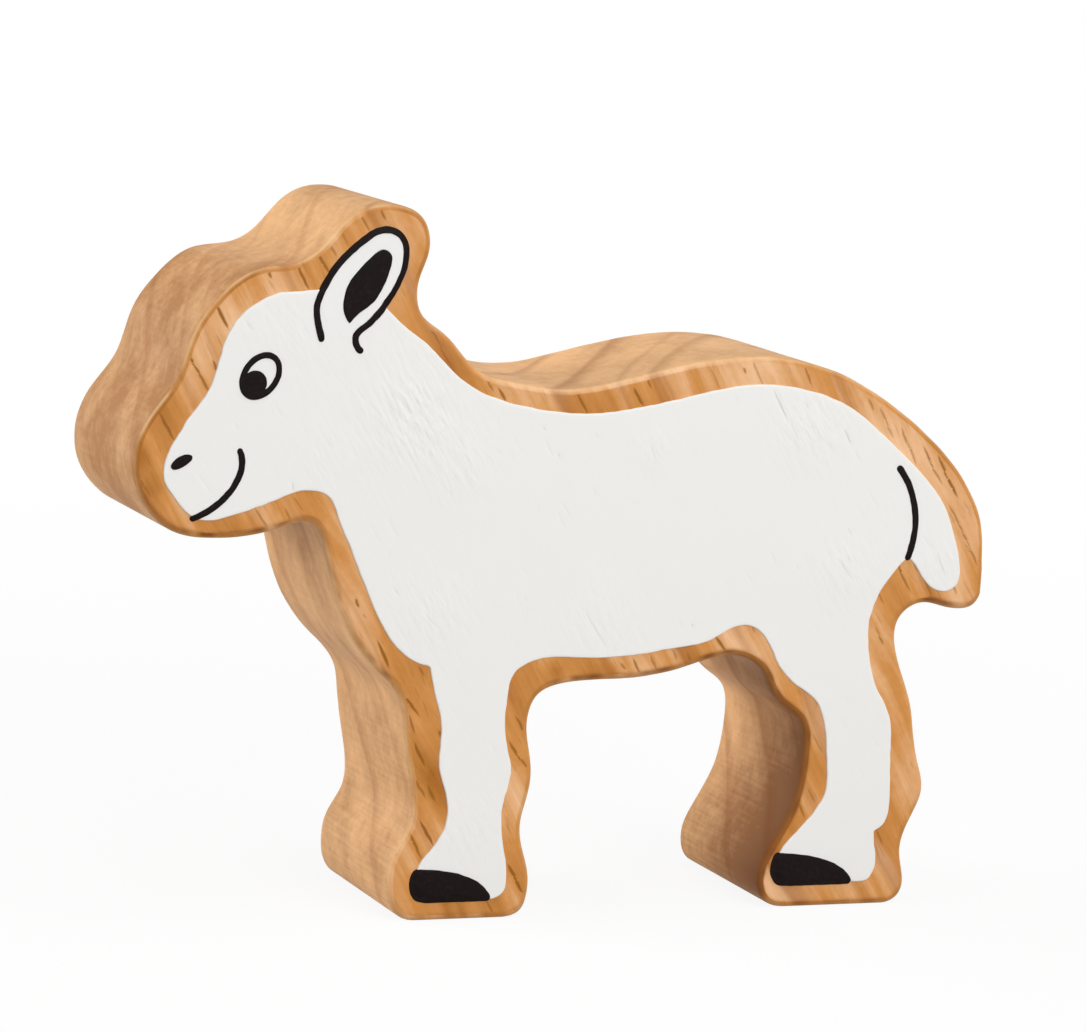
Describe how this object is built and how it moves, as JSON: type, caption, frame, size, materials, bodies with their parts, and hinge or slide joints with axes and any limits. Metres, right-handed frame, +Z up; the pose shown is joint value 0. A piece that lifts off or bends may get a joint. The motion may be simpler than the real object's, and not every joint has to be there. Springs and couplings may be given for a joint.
{
  "type": "sheep figurine",
  "caption": "Flat standing lamb cut from a thick wooden board, with rounded rims, a painted white coat and black painted ears, eyes, mouth, tail crease and hooves on both faces.",
  "frame": {"origin": "middle of the length and of the thickness, on the plane of the two soles", "axes": "+Z up, the sheep looks towards -X with its tail towards +X, and its painted faces look towards -Y and +Y"},
  "size_m": [0.0951, 0.0206, 0.0731],
  "materials": {
    "wood": "clear satin varnish over sanded light hardwood",
    "white_paint": "satin white paint brushed on wood",
    "black_paint": "satin black paint brushed on"
  },
  "bodies": {
    "root": {"wooden_body": "wood", "front_white_coat": "white_paint", "front_ear_line": "black_paint", "front_ear_inside": "black_paint", "front_eye": "black_paint", "front_nostril": "black_paint", "front_mouth_line": "black_paint", "front_tail_line": "black_paint", "front_fore_hoof": "black_paint", "front_hind_hoof": "black_paint", "back_white_coat": "white_paint", "back_ear_line": "black_paint", "back_ear_inside": "black_paint", "back_eye": "black_paint", "back_nostril": "black_paint", "back_mouth_line": "black_paint", "back_tail_line": "black_paint", "back_fore_hoof": "black_paint", "back_hind_hoof": "black_paint"}
  },
  "joints": []
}
